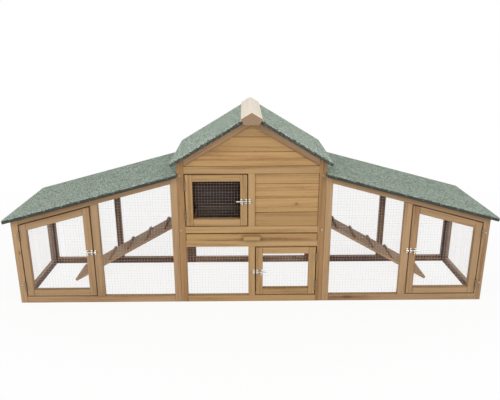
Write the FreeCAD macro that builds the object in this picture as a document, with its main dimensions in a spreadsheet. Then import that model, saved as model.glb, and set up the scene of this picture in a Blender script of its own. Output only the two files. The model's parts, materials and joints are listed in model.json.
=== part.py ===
import FreeCAD, Part
import math
import os
import re
import Sketcher

# Chicken coop: a two-storey house in the middle and a lean-to run on each side.
# Millimetres, +Z up, front towards -Y, origin on the ground under the middle of the ridge beam.
# Pieces are described for the right-hand half, and the left-hand half mirrors them.

# Driving sizes: alias, value, meaning
SIZES = (
    ("half_width", 1030.0, "middle to the outer face of the outer posts"),
    ("house_half", 313.0, "middle to the outer face of the house posts"),
    ("depth", 445.0, "front face to rear face of the frames"),
    ("panel", 20.0, "thickness of every frame panel"),
    ("post_width", 29.0, "width of posts, centre stiles and rear mid posts"),
    ("rail", 30.0, "height of the bottom rails and end rails"),
    ("lower_opening", 234.5, "clear height below the house"),
    ("tray_rail", 27.5, "height of the rail under the tray"),
    ("tray_slot", 36.5, "clear height of the tray slot"),
    ("floor_rail", 29.0, "height of the rail over the tray"),
    ("upper_opening", 234.5, "clear height of the upper front"),
    ("top_rail", 31.0, "height of the rail under the gable"),
    ("trim_drop", 32.5, "upright height of the gable trims"),
    ("house_pitch", 31.0, "slope of the house roof in degrees"),
    ("house_eave", 26.5, "house roof beyond the house posts"),
    ("run_pitch", 15.0, "slope of the run roofs in degrees"),
    ("run_height", 597.6, "top of the run roof at the house"),
    ("run_eave", 26.0, "run roof beyond the outer posts"),
    ("run_rail", 25.0, "run top rail, square to its slope"),
    ("run_stile_place", 653.6, "middle to the near edge of the run door stile"),
    ("run_stile", 32.4, "width of the run door stile"),
    ("rear_post_place", 674.0, "middle to the centre of the rear mid post"),
    ("roof_board", 14.0, "thickness of the roof boards"),
    ("felt", 2.0, "thickness of the roofing felt"),
    ("roof_overhang", 28.0, "roofs beyond the frames, front and rear"),
    ("beam_half", 44.0, "half width of the ridge beam at its shoulders"),
    ("beam_stand", 6.0, "beam shoulder above the felt, square to the slope"),
    ("beam_side", 26.4, "side of the ridge beam, square to the slope"),
    ("beam_end", 15.0, "ridge beam beyond the roof, front and rear"),
    ("wall", 12.0, "thickness of the wall boards"),
    ("wall_recess", 4.0, "wall boards behind the face of the frame"),
    ("board_pitch", 63.4, "height of a wall board with its gap"),
    ("gable_pitch", 61.5, "height of a gable board with its gap"),
    ("board_gap", 0.8, "gap between boards"),
    ("door_member", 30.0, "width of the door stiles and rails"),
    ("door_gap", 4.0, "gap round the doors"),
    ("stop_thickness", 12.0, "thickness of the lower door's stops"),
    ("stop_reach", 7.0, "stops behind the stiles of the lower door"),
    ("stop_gap", 1.0, "gap between the lower door and its stops"),
    ("net_wire", 1.1, "wire width and thickness of the nets"),
    ("net_lap", 8.0, "net over the back of its frame"),
    ("door_net_pitch", 12.7, "wire pitch on the house doors"),
    ("panel_net_pitch", 38.1, "spacing of the wires shown on the larger panels, every third one"),
    ("hinge_length", 43.0, "length of a butt hinge"),
    ("hinge_end", 26.0, "hinge from the top or bottom edge of its door"),
    ("hinge_stand", 3.5, "hinge axis in front of the frames"),
    ("hinge_leaf", 1.0, "thickness of a hinge leaf"),
    ("leaf_depth", 15.0, "hinge leaf along the edge of the door"),
    ("knuckle_radius", 3.0, "outer radius of the hinge knuckles"),
    ("pin_radius", 1.5, "radius of the hinge pins"),
    ("pin_clearance", 0.05, "radial clearance of pins and sliding bolts"),
    ("knuckle_gap", 0.3, "gap between hinge knuckles"),
    ("latch_plate", 1.5, "thickness of a latch plate"),
    ("latch_length", 29.0, "length of a latch plate"),
    ("latch_height", 22.0, "height of a latch plate"),
    ("latch_inset", 1.0, "latch plate and keeper from the edge of the timber"),
    ("guide_length", 5.0, "length of a bolt guide"),
    ("guide_wall", 1.7, "wall of the guides and keepers round the bolt"),
    ("keeper_length", 10.0, "length of a keeper"),
    ("keeper_clearance", 0.3, "clearance of the bolt in its keeper"),
    ("bolt_radius", 2.75, "radius of a barrel bolt"),
    ("bolt_length", 46.0, "length of a barrel bolt"),
    ("bolt_gap", 0.5, "bolt in front of its plate"),
    ("knob_radius", 2.2, "radius of the bolt's knob stem"),
    ("knob_ball", 2.9, "radius of the ball on the knob"),
    ("knob_drop", 14.0, "ball below the bolt"),
    ("run_latch_height", 242.0, "run door latch above the ground"),
    ("upper_latch_height", 471.0, "upper door latch above the ground"),
    ("lower_latch_height", 145.0, "lower door latch above the ground"),
    ("tray_front", 12.0, "thickness of the tray front"),
    ("tray_front_height", 31.0, "height of the tray front"),
    ("tray_side_gap", 1.5, "tray front from the house posts"),
    ("tray_post_gap", 14.0, "tray pan from the house posts"),
    ("tray_bearing", 15.0, "tray pan on each runner"),
    ("tray_floor", 4.0, "thickness of the tray floor"),
    ("tray_wall", 8.0, "thickness of the tray walls"),
    ("tray_depth", 24.0, "inner depth of the tray"),
    ("tray_rear_gap", 10.0, "tray pan from the rear frame"),
    ("slide_clearance", 0.3, "tray above its runners"),
    ("handle_width", 74.0, "width of the tray handle"),
    ("handle_height", 19.0, "height of the tray handle"),
    ("handle_proud", 18.0, "tray handle in front of the tray"),
    ("pop_sill", 30.0, "sill board under the pop-holes"),
    ("pop_rows", 3.0, "height of the pop-holes in boards"),
    ("pop_width", 180.0, "width of the pop-holes"),
    ("ramp_place", 76.0, "middle of the ramps and pop-holes behind the coop's middle"),
    ("ramp_width", 170.0, "width of a ramp plank"),
    ("ramp_board", 12.0, "thickness of a ramp plank"),
    ("ramp_pitch", 29.5, "slope of the ramps in degrees"),
    ("ramp_pivot_rise", 13.0, "ramp pivot above the tray rail"),
    ("ramp_stand", 8.5, "ramp pivot from the house wall"),
    ("ramp_end", 5.0, "ramp plank beyond its pivot"),
    ("ramp_clearance", 0.5, "ramp above the ground and beside its brackets"),
    ("ramp_rod", 2.5, "radius of the ramp's pivot rod"),
    ("bracket", 3.0, "thickness of the ramp brackets"),
    ("bracket_half", 8.0, "half height of the ramp brackets, and their reach past the rod"),
    ("cleat_pitch", 106.0, "spacing of the cleats along a ramp"),
    ("cleat_first", 91.0, "first cleat from the pivot"),
    ("cleat_width", 12.0, "width of a cleat"),
    ("cleat_height", 8.0, "height of a cleat"),
    ("screw_head", 4.5, "radius of a screw head"),
    ("screw_head_height", 2.5, "height of a screw head"),
    ("screw_shank", 2.0, "radius of a screw shank"),
    ("screw_length", 16.0, "length of a screw shank"),
    ("house_screw_inset", 10.0, "house post screws from the post's outer edge and the rails"),
    ("outer_screw_low", 83.0, "lower screw of an outer post above the ground"),
    ("outer_screw_drop", 73.0, "upper screw of an outer post below the roof"),
)

doc = FreeCAD.newDocument("chicken_coop")
sheet = doc.addObject("Spreadsheet::Sheet", "Sizes")
for row, (alias, value, meaning) in enumerate(SIZES, start=1):
    sheet.set(f"A{row}", meaning)
    sheet.set(f"B{row}", str(value))
    sheet.setAlias(f"B{row}", alias)
gauge = doc.addObject("App::FeaturePython", "Gauge")
gauge.addProperty("App::PropertyFloat", "Reading")
doc.recompute()

ALIASES = {alias for alias, value, meaning in SIZES}
SLIVER = 2.0
nodes = []


def resolve(expression):
    """Point every alias in an expression to its cell."""
    return re.sub(r"[a-z_]+", lambda word: f"Sizes.{word[0]}" if word[0] in ALIASES else word[0], expression)


def bind(piece, target, expression):
    """Tie one property to an expression in the driving sizes."""
    piece.setExpression(target, resolve(expression))


def measure(expression):
    """Read the value of an expression."""
    bind(gauge, "Reading", expression)
    gauge.recompute()
    return gauge.Reading


def box(name, x_span, y_span, z_span):
    """Square timber or plate between pairs of expressions."""
    piece = doc.addObject("Part::Box", name)
    for size, axis, (low, high) in zip(("Length", "Width", "Height"), "xyz", (x_span, y_span, z_span)):
        bind(piece, size, f"({high}) - ({low})")
        bind(piece, f"Placement.Base.{axis}", low)
    return piece


def tilted_box(name, along, y_span, square, pitch, pivot):
    """Plate that slopes down outwards: spans along and square to the slope are from a pivot (x, z)."""
    piece = doc.addObject("Part::Box", name)
    (start, end), (low, high) = along, square
    bind(piece, "Length", f"({end}) - ({start})")
    bind(piece, "Width", f"({y_span[1]}) - ({y_span[0]})")
    bind(piece, "Height", f"({high}) - ({low})")
    piece.Placement.Rotation = FreeCAD.Rotation(FreeCAD.Vector(0, 1, 0), measure(pitch))
    bind(piece, "Placement.Rotation.Angle", pitch)
    bind(piece, "Placement.Base.x", f"{pivot[0]} + ({start}) * cos({pitch}) + ({low}) * sin({pitch})")
    bind(piece, "Placement.Base.y", y_span[0])
    bind(piece, "Placement.Base.z", f"{pivot[1]} - ({start}) * sin({pitch}) + ({low}) * cos({pitch})")
    return piece


def prism(name, outline, y_span):
    """Timber with an outline of (x, z) expressions, padded along Y."""
    body = doc.addObject("PartDesign::Body", name)
    sketch = body.newObject("Sketcher::SketchObject", f"{name}_outline")
    plane = next(feature for feature in body.Origin.OriginFeatures if feature.Role == "XZ_Plane")
    sketch.AttachmentSupport = [(plane, "")]
    sketch.MapMode = "FlatFace"
    count = len(outline)
    corners = [FreeCAD.Vector(measure(x), measure(z), 0) for x, z in outline]
    sketch.addGeometry([Part.LineSegment(corners[i], corners[(i + 1) % count]) for i in range(count)])
    for i in range(count):
        sketch.addConstraint(Sketcher.Constraint("Coincident", i, 2, (i + 1) % count, 1))
    for i, (x, z) in enumerate(outline):
        for kind, expression, start in (("DistanceX", x, corners[i].x), ("DistanceY", z, corners[i].y)):
            index = sketch.addConstraint(Sketcher.Constraint(kind, -1, 1, i, 1, start))
            bind(sketch, f"Constraints[{index}]", expression)
    pad = body.newObject("PartDesign::Pad", f"{name}_pad")
    pad.Profile = sketch
    pad.Reversed = True
    bind(pad, "Length", f"({y_span[1]}) - ({y_span[0]})")
    bind(body, "Placement.Base.y", y_span[0])
    return body


def rod(name, axis, radius, span, centre):
    """Round piece along X, Y or Z; centre holds its two other coordinates in X, Y, Z order."""
    piece = doc.addObject("Part::Cylinder", name)
    turns = {"x": ((0, 1, 0), 90), "y": ((1, 0, 0), -90), "z": ((0, 0, 1), 0)}
    direction, angle = turns[axis]
    piece.Placement.Rotation = FreeCAD.Rotation(FreeCAD.Vector(*direction), angle)
    bind(piece, "Radius", radius)
    bind(piece, "Height", f"({span[1]}) - ({span[0]})")
    bind(piece, f"Placement.Base.{axis}", span[0])
    for other, place in zip("xyz".replace(axis, ""), centre):
        bind(piece, f"Placement.Base.{other}", place)
    return piece


def ball(name, radius, centre):
    """Sphere at (x, y, z) expressions."""
    piece = doc.addObject("Part::Sphere", name)
    bind(piece, "Radius", radius)
    for axis, place in zip("xyz", centre):
        bind(piece, f"Placement.Base.{axis}", place)
    return piece


def cut(name, base, tool):
    """Base with the tool taken away."""
    piece = doc.addObject("Part::Cut", name)
    piece.Base = base
    piece.Tool = tool
    return piece


def fuse(name, pieces):
    """One solid of pieces that grow into each other."""
    piece = doc.addObject("Part::MultiFuse", name)
    piece.Shapes = pieces
    return piece


def common(name, first, second):
    """What two solids share."""
    piece = doc.addObject("Part::Common", name)
    piece.Base = first
    piece.Tool = second
    return piece


def mirror(name, source, normal=(1, 0, 0)):
    """Mirror image in a plane through the origin."""
    piece = doc.addObject("Part::Mirroring", name)
    piece.Source = source
    piece.Normal = FreeCAD.Vector(*normal)
    return piece


def node(label, pieces):
    """Sub-part that is exported under its label."""
    piece = doc.addObject("Part::Compound", label)
    piece.Links = pieces
    nodes.append((label, piece))
    return piece


def both_sides(name, make):
    """Right-hand and left-hand sub-part of one description."""
    right = node(f"right_{name}", make(f"right_{name}"))
    left = mirror(f"left_{name}", right)
    nodes.append((f"left_{name}", left))


def with_mirror(name, pieces, normal=(1, 0, 0)):
    """Pieces and their mirror images."""
    return pieces + [mirror(f"{name}_{k}_mirrored", piece, normal) for k, piece in enumerate(pieces)]


def clipped(polygon, start, end, margin):
    """Part of a convex polygon that lies left of a directed line, at least a margin away from it."""
    length = math.hypot(end[0] - start[0], end[1] - start[1])
    along = ((end[0] - start[0]) / length, (end[1] - start[1]) / length)
    heights = [along[0] * (v - start[1]) - along[1] * (u - start[0]) - margin for u, v in polygon]
    kept = []
    for k, point in enumerate(polygon):
        previous = polygon[k - 1]
        if heights[k] * heights[k - 1] < 0:
            share = heights[k - 1] / (heights[k - 1] - heights[k])
            kept.append(tuple(a + share * (b - a) for a, b in zip(previous, point)))
        if heights[k] >= 0:
            kept.append(point)
    return kept


def net(name, outline, low, pitch, across="y"):
    """Flat wire net: one holed face, as thick as its wire, in an outline that runs anticlockwise."""
    wire = measure("net_wire")
    step = measure(pitch)
    corners = [(measure(u), measure(v)) for u, v in outline]
    edges = list(zip(corners, corners[1:] + corners[:1]))
    left, bottom = (min(corner[k] for corner in corners) for k in (0, 1))
    right, top = (max(corner[k] for corner in corners) for k in (0, 1))
    gaps = []
    for column in range(math.ceil((right - left) / step)):
        for line in range(math.ceil((top - bottom) / step)):
            u = left + column * step
            v = bottom + line * step
            gap = [(u + wire, v + wire), (u + step, v + wire), (u + step, v + step), (u + wire, v + step)]
            for start, end in edges:
                gap = clipped(gap, start, end, wire)
            wide = gap and min(max(p[k] for p in gap) - min(p[k] for p in gap) for k in (0, 1)) > SLIVER
            if wide:
                gaps.append(gap)

    def wire_loop(points):
        places = [FreeCAD.Vector(u, 0, v) if across == "y" else FreeCAD.Vector(0, u, v) for u, v in points]
        return Part.makePolygon(places + places[:1])

    face = Part.Face([wire_loop(corners)] + [wire_loop(gap[::-1]) for gap in gaps])
    thickness = FreeCAD.Vector(0, wire, 0) if across == "y" else FreeCAD.Vector(wire, 0, 0)
    piece = doc.addObject("Part::Feature", name)
    piece.Shape = face.extrude(thickness)
    bind(piece, f"Placement.Base.{across}", low)
    return piece


def rectangle(u_low, u_high, v_low, v_high):
    """Anticlockwise outline of a rectangle."""
    return [(u_low, v_low), (u_high, v_low), (u_high, v_high), (u_low, v_high)]


def board_rows(name, x_span, y_span, z_span, pitch="board_pitch"):
    """Boards above each other, with the last one cut to the height that is left."""
    low, high = z_span
    count = math.ceil(measure(f"(({high}) - ({low})) / {pitch}"))
    boards = []
    for k in range(count):
        start = f"({low} + {k} * {pitch})"
        end = f"min({start} + {pitch} - board_gap; {high})"
        boards.append(box(f"{name}_{k}", x_span, y_span, (start, end)))
    return boards


# Levels and faces that the pieces share
FRONT = "(-depth / 2)"
FRONT_IN = "(panel - depth / 2)"
REAR = "(depth / 2)"
REAR_IN = "(depth / 2 - panel)"
FRONT_PANEL = (FRONT, FRONT_IN)
REAR_PANEL = (REAR_IN, REAR)
FRONT_WALL = (f"{FRONT} + wall_recess", f"{FRONT} + wall_recess + wall")
REAR_WALL = (f"{REAR} - wall_recess - wall", f"{REAR} - wall_recess")
ROOF_FRONT = f"({FRONT} - roof_overhang)"
ROOF_REAR = f"({REAR} + roof_overhang)"
ROOF_BOARDS = (f"{ROOF_FRONT} + felt", f"{ROOF_REAR} - felt")
INSIDE = (FRONT_IN, REAR_IN)

TRAY_RAIL = "(rail + lower_opening)"
SLOT = f"({TRAY_RAIL} + tray_rail)"
FLOOR = f"({SLOT} + tray_slot)"
CHAMBER = f"({FLOOR} + floor_rail)"
TOP_RAIL = f"({CHAMBER} + upper_opening)"
GABLE = f"({TOP_RAIL} + top_rail)"

HOUSE_POST_IN = "(house_half - post_width)"
STILE_HALF = "(post_width / 2)"
RUN_POST_OUT = "(house_half + post_width)"
OUTER_POST_IN = "(half_width - post_width)"
RUN_STILE = ("run_stile_place", "(run_stile_place + run_stile)")
ROOF_THICK = "(roof_board + felt)"
CENTRE_SPAN = (f"-{STILE_HALF}", STILE_HALF)
HOUSE_CLEAR = (f"-{HOUSE_POST_IN}", HOUSE_POST_IN)


def house_under(x):
    """Height of the house roof's underside over x."""
    return f"({GABLE} + trim_drop + ({HOUSE_POST_IN} - ({x})) * tan(house_pitch))"


def run_top(x):
    """Height of the run roof's top over x."""
    return f"(run_height - (({x}) - house_half) * tan(run_pitch))"


def run_under(x):
    """Height of the run roof's underside over x."""
    return f"({run_top(x)} - {ROOF_THICK} / cos(run_pitch))"


def run_rail_under(x):
    """Height of the run top rail's lower edge over x."""
    return f"({run_under(x)} - run_rail / cos(run_pitch))"


def sloped(name, x_low, x_high, bottom, top, y_span):
    """Timber between two edges whose heights are functions of x."""
    outline = [(x_low, bottom(x_low)), (x_high, bottom(x_high)), (x_high, top(x_high)), (x_low, top(x_low))]
    return prism(name, outline, y_span)


def level(height):
    """Edge of constant height."""
    return lambda x: height


# House frame
def house_posts(name, y_span):
    post = sloped(f"{name}_right", HOUSE_POST_IN, "house_half", level("0"), house_under, y_span)
    return with_mirror(name, [post])


def cross_rail(name, y_span, low, high):
    return box(name, HOUSE_CLEAR, y_span, (low, high))


def door_stop(name, timber, reach):
    """Lath behind a timber of the lower doorway that closes the gap at the door's edge."""
    face = f"{FRONT_IN} + stop_gap"
    levels = ("rail", TRAY_RAIL)
    packing = box(f"{name}_packing", timber, (FRONT_IN, face), levels)
    lath = box(f"{name}_lath", reach, (face, f"{face} + stop_thickness"), levels)
    return fuse(name, [packing, lath])


node("house_front_posts", house_posts("front_post", FRONT_PANEL))
node("house_front_rails", [
    cross_rail("front_bottom_rail", FRONT_PANEL, "0", "rail"),
    cross_rail("front_tray_rail", FRONT_PANEL, TRAY_RAIL, SLOT),
    cross_rail("front_floor_rail", FRONT_PANEL, FLOOR, CHAMBER),
    cross_rail("front_top_rail", FRONT_PANEL, TOP_RAIL, GABLE),
    box("lower_centre_stile", CENTRE_SPAN, FRONT_PANEL, ("rail", TRAY_RAIL)),
    box("upper_centre_stile", CENTRE_SPAN, FRONT_PANEL, (CHAMBER, TOP_RAIL)),
    door_stop("latch_stop", ("0", STILE_HALF), ("0", f"{STILE_HALF} + door_gap + stop_reach")),
    door_stop("hinge_stop", (HOUSE_POST_IN, "house_half"),
              (f"{HOUSE_POST_IN} - door_gap - stop_reach", "house_half")),
])
node("house_rear_frame", house_posts("rear_post", REAR_PANEL) + [
    cross_rail("rear_bottom_rail", REAR_PANEL, "0", "rail"),
    cross_rail("rear_tray_rail", REAR_PANEL, TRAY_RAIL, SLOT),
    cross_rail("rear_top_rail", REAR_PANEL, TOP_RAIL, GABLE),
])

# House walls
node("house_front_boards", board_rows(
    "front_board", (STILE_HALF, HOUSE_POST_IN), FRONT_WALL, (CHAMBER, TOP_RAIL)))
node("house_rear_boards", board_rows("rear_board", HOUSE_CLEAR, REAR_WALL, (SLOT, TOP_RAIL)))


def gable_boards():
    """Boards in the triangle between the top rail and the gable trims, front and rear."""
    rise = f"({HOUSE_POST_IN} * tan(house_pitch))"
    peak = f"({GABLE} + {rise})"
    rows = board_rows("gable_row", HOUSE_CLEAR, FRONT_WALL, (GABLE, peak), "gable_pitch")
    boards = []
    for k, row in enumerate(rows):
        outline = [(f"-{HOUSE_POST_IN}", GABLE), (HOUSE_POST_IN, GABLE), ("0", peak)]
        boards.append(common(f"gable_board_{k}", prism(f"gable_triangle_{k}", outline, FRONT_WALL), row))
    return with_mirror("gable_board", boards, (0, 1, 0))


node("house_gable_boards", gable_boards())

POP_LOW = f"({SLOT} + pop_sill)"
POP_HIGH = f"({POP_LOW} + pop_rows * board_pitch)"
POP_FRONT = "(ramp_place - pop_width / 2)"
POP_REAR = "(ramp_place + pop_width / 2)"
SIDE_WALL = ("house_half - wall", "house_half")
node("house_side_boards", with_mirror("side_board", [
    box("side_sill", SIDE_WALL, INSIDE, (SLOT, f"{POP_LOW} - board_gap")),
    *board_rows("side_front_board", SIDE_WALL, (FRONT_IN, POP_FRONT), (POP_LOW, f"({POP_HIGH} - board_gap)")),
    *board_rows("side_rear_board", SIDE_WALL, (POP_REAR, REAR_IN), (POP_LOW, f"({POP_HIGH} - board_gap)")),
    *board_rows("side_head_board", SIDE_WALL, INSIDE, (POP_HIGH, house_under("house_half"))),
]))
TRAY_HALF = f"({HOUSE_POST_IN} - tray_post_gap)"
RUNNER = (f"{TRAY_HALF} - tray_bearing", "house_half - wall")
node("tray_runners", with_mirror("tray_runner", [
    box("tray_runner", RUNNER, INSIDE, (f"{TRAY_RAIL} + net_lap", SLOT)),
]))
LOWER_NET = ("rail - net_lap", f"{TRAY_RAIL} + net_lap")
node("house_nets", [
    net("front_lower_net", rectangle(f"-{HOUSE_POST_IN} - net_lap", f"-{STILE_HALF} + net_lap", *LOWER_NET),
        FRONT_IN, "panel_net_pitch"),
    net("rear_lower_net", rectangle(f"-{HOUSE_POST_IN} - net_lap", f"{HOUSE_POST_IN} + net_lap", *LOWER_NET),
        f"{REAR_IN} - net_wire", "panel_net_pitch"),
])

# House roof, measured along its slope from the sides of the ridge beam,
# and square to the slope from the shoulders of the beam
BEAM_APEX = f"({house_under('0')} + ({ROOF_THICK} + beam_stand) / cos(house_pitch))"
SHOULDER = f"({BEAM_APEX} - beam_half * tan(house_pitch))"
BEAM_BASE = "(beam_half - beam_side * sin(house_pitch))"
BEAM_UNDER = f"({SHOULDER} - beam_side * cos(house_pitch))"
HOUSE_SLOPE = "((house_half + house_eave - beam_half + beam_stand * sin(house_pitch)) / cos(house_pitch))"


def roof_point(drop, along):
    """Point on the roof's cross-section."""
    x = f"beam_half - ({drop}) * sin(house_pitch) + ({along}) * cos(house_pitch)"
    z = f"{SHOULDER} - ({drop}) * cos(house_pitch) - ({along}) * sin(house_pitch)"
    return x, z


def house_roof_board(name):
    top = "(beam_stand + felt)"
    under = f"({top} + roof_board)"
    end = f"({HOUSE_SLOPE} - felt)"
    outline = [roof_point(top, "0"), roof_point(under, "0"), roof_point(under, end), roof_point(top, end)]
    return [prism(f"{name}_board", outline, ROOF_BOARDS)]


def house_roof_felt(name):
    under = f"(beam_stand + {ROOF_THICK})"
    outline = [
        roof_point("beam_stand", "0"),
        roof_point(under, "0"),
        roof_point(under, HOUSE_SLOPE),
        roof_point("beam_stand", HOUSE_SLOPE),
    ]
    block = prism(f"{name}_block", outline, (ROOF_FRONT, ROOF_REAR))
    return [cut(f"{name}_sheet", block, doc.getObject("right_house_roof_board"))]


both_sides("house_roof_board", house_roof_board)
both_sides("house_felt", house_roof_felt)
node("ridge_beam", [prism("beam", [
    ("0", BEAM_APEX),
    ("-beam_half", SHOULDER),
    (f"-{BEAM_BASE}", BEAM_UNDER),
    (BEAM_BASE, BEAM_UNDER),
    ("beam_half", SHOULDER),
], (f"{ROOF_FRONT} - beam_end", f"{ROOF_REAR} + beam_end"))])


def gable_trims():
    """Sloping trims under the roof, cut to the ridge beam, front and rear."""
    outline = [
        ("0", f"{house_under('0')} - trim_drop"),
        (HOUSE_POST_IN, GABLE),
        (HOUSE_POST_IN, house_under(HOUSE_POST_IN)),
        roof_point(f"beam_stand + {ROOF_THICK}", "0"),
        (BEAM_BASE, BEAM_UNDER),
        ("0", BEAM_UNDER),
    ]
    front = with_mirror("gable_trim", [prism("gable_trim", outline, FRONT_PANEL)])
    return with_mirror("gable_trim_rear", front, (0, 1, 0))


node("house_gable_trims", gable_trims())


# Runs
def run_panel(name, y_span):
    """Two posts, bottom rail and sloping top rail of a run panel."""
    return [
        sloped(f"{name}_inner_post", "house_half", RUN_POST_OUT, level("0"), run_under, y_span),
        sloped(f"{name}_outer_post", OUTER_POST_IN, "half_width", level("0"), run_under, y_span),
        sloped(f"{name}_top_rail", RUN_POST_OUT, OUTER_POST_IN, run_rail_under, run_under, y_span),
        box(f"{name}_bottom_rail", (RUN_POST_OUT, OUTER_POST_IN), y_span, ("0", "rail")),
    ]


def run_front_frame(name):
    return run_panel(name, FRONT_PANEL) + [
        sloped(f"{name}_stile", *RUN_STILE, level("rail"), run_rail_under, FRONT_PANEL)
    ]


REAR_MID = ("(rear_post_place - post_width / 2)", "(rear_post_place + post_width / 2)")


def run_rear_frame(name):
    return run_panel(name, REAR_PANEL) + [
        sloped(f"{name}_mid_post", *REAR_MID, level("rail"), run_rail_under, REAR_PANEL)
    ]


END_PANEL = ("half_width - panel", "half_width")
END_TOP = run_under("half_width")
END_CLEAR = (f"{FRONT_IN} + post_width", f"{REAR_IN} - post_width")


def run_end_frame(name):
    return [
        box(f"{name}_front_stile", END_PANEL, (FRONT_IN, END_CLEAR[0]), ("0", END_TOP)),
        box(f"{name}_rear_stile", END_PANEL, (END_CLEAR[1], REAR_IN), ("0", END_TOP)),
        box(f"{name}_bottom_rail", END_PANEL, END_CLEAR, ("0", "rail")),
        box(f"{name}_top_rail", END_PANEL, END_CLEAR, (f"{END_TOP} - rail", END_TOP)),
    ]


def lapped(x_low, x_high, bottom, top):
    """Outline of a net that laps over its frame, with a sloping top."""
    low = f"({x_low} - net_lap)"
    high = f"({x_high} + net_lap)"
    floor = f"{bottom} - net_lap"
    return [(low, floor), (high, floor), (high, f"{top(high)} + net_lap"), (low, f"{top(low)} + net_lap")]


def run_nets(name):
    rear = f"{REAR_IN} - net_wire"
    fixed = lapped(RUN_POST_OUT, "run_stile_place", "rail", run_rail_under)
    rear_near = lapped(RUN_POST_OUT, REAR_MID[0], "rail", run_rail_under)
    rear_far = lapped(REAR_MID[1], OUTER_POST_IN, "rail", run_rail_under)
    end_span = (f"{END_CLEAR[0]} - net_lap", f"{END_CLEAR[1]} + net_lap")
    end = rectangle(*end_span, "rail - net_lap", f"{END_TOP} - rail + net_lap")
    return [
        net(f"{name}_front", fixed, FRONT_IN, "panel_net_pitch"),
        net(f"{name}_rear_near", rear_near, rear, "panel_net_pitch"),
        net(f"{name}_rear_far", rear_far, rear, "panel_net_pitch"),
        net(f"{name}_end", end, f"{END_PANEL[0]} - net_wire", "panel_net_pitch", across="x"),
    ]


RUN_EDGE = "(half_width + run_eave)"


def run_roof_outline(top_drop, end_inset):
    """Cross-section of a roof layer: its top below the felt's top and its end inside the eave."""
    x = f"({RUN_EDGE} - ({end_inset}) * cos(run_pitch) - ({top_drop}) * sin(run_pitch))"
    z = f"({run_top(RUN_EDGE)} + ({end_inset}) * sin(run_pitch) - ({top_drop}) * cos(run_pitch))"
    rest = f"({ROOF_THICK} - ({top_drop}))"
    return [
        ("house_half", f"{run_top('house_half')} - ({top_drop}) / cos(run_pitch)"),
        ("house_half", run_under("house_half")),
        (f"{x} - {rest} * sin(run_pitch)", f"{z} - {rest} * cos(run_pitch)"),
        (x, z),
    ]


def run_roof_board(name):
    return [prism(f"{name}_board", run_roof_outline("felt", "felt"), ROOF_BOARDS)]


def run_felt(name):
    block = prism(f"{name}_block", run_roof_outline("0", "0"), (ROOF_FRONT, ROOF_REAR))
    return [cut(f"{name}_sheet", block, doc.getObject("right_run_roof_board"))]


both_sides("run_front_frame", run_front_frame)
both_sides("run_rear_frame", run_rear_frame)
both_sides("run_end_frame", run_end_frame)
both_sides("run_nets", run_nets)
both_sides("run_roof_board", run_roof_board)
both_sides("run_felt", run_felt)

# Doors: hinged at their outer edge, latched at their inner edge
fixed_hinges = []
keepers = []


def door_frame(name, x_low, x_high, bottom, top, slope):
    """Two stiles and two rails; the top rail follows the slope of the door's top."""
    near = f"({x_low} + door_member)"
    far = f"({x_high} - door_member)"

    def rail_under(x):
        return f"({top(x)} - door_member / cos({slope}))"

    return [
        sloped(f"{name}_latch_stile", x_low, near, level(bottom), top, FRONT_PANEL),
        sloped(f"{name}_hinge_stile", far, x_high, level(bottom), top, FRONT_PANEL),
        box(f"{name}_bottom_rail", (near, far), FRONT_PANEL, (bottom, f"{bottom} + door_member")),
        sloped(f"{name}_top_rail", near, far, rail_under, top, FRONT_PANEL),
    ]


def door_net(name, x_low, x_high, bottom, top, slope, pitch):
    def opening_top(x):
        return f"({top(x)} - door_member / cos({slope}))"

    near = f"{x_low} + door_member"
    far = f"{x_high} - door_member"
    return net(name, lapped(near, far, f"{bottom} + door_member", opening_top), FRONT_IN, pitch)


HINGE_AXIS_Y = f"({FRONT} - hinge_stand)"


def hinge(name, edge, low):
    """Butt hinge in the gap beside a door's edge: fixed leaf, door leaf and pin."""
    centre = (f"{edge} + door_gap / 2", HINGE_AXIS_Y)
    whole = (low, f"{low} + hinge_length")
    third = "hinge_length / 3"
    shares = [(f"{low}", f"{low} + {third}"),
              (f"{low} + {third} + knuckle_gap", f"{low} + 2 * {third} - knuckle_gap"),
              (f"{low} + 2 * {third}", f"{low} + hinge_length")]
    leaves = {
        "fixed": ((f"{edge} + door_gap - hinge_leaf", f"{edge} + door_gap"), (shares[0], shares[2])),
        "door": ((edge, f"{edge} + hinge_leaf"), (shares[1],)),
    }
    made = []
    for leaf, (x_span, spans) in leaves.items():
        pieces = [box(f"{name}_{leaf}_leaf", x_span, (FRONT, f"{FRONT} + leaf_depth"), whole)]
        for k, span in enumerate(spans):
            pieces.append(box(f"{name}_{leaf}_neck_{k}", x_span, (HINGE_AXIS_Y, FRONT), span))
            pieces.append(rod(f"{name}_{leaf}_knuckle_{k}", "z", "knuckle_radius", span, centre))
        bore = rod(f"{name}_{leaf}_bore", "z", "pin_radius + pin_clearance", whole, centre)
        made.append(cut(f"{name}_{leaf}", fuse(f"{name}_{leaf}_blank", pieces), bore))
    pin = rod(f"{name}_pin", "z", "pin_radius", whole, centre)
    return made[0], made[1], pin


BOLT_Y = f"({FRONT} - latch_plate - bolt_gap - bolt_radius)"
GUIDE_FRONT = f"({BOLT_Y} - bolt_radius - guide_wall)"


def bolt_loop(name, x_span, height, back, clearance):
    """Saddle with a bore for the barrel bolt."""
    half = "(bolt_radius + guide_wall)"
    block = box(f"{name}_block", x_span, (GUIDE_FRONT, back), (f"{height} - {half}", f"{height} + {half}"))
    return block, rod(f"{name}_bore", "x", f"bolt_radius + {clearance}", x_span, (BOLT_Y, height))


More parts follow.
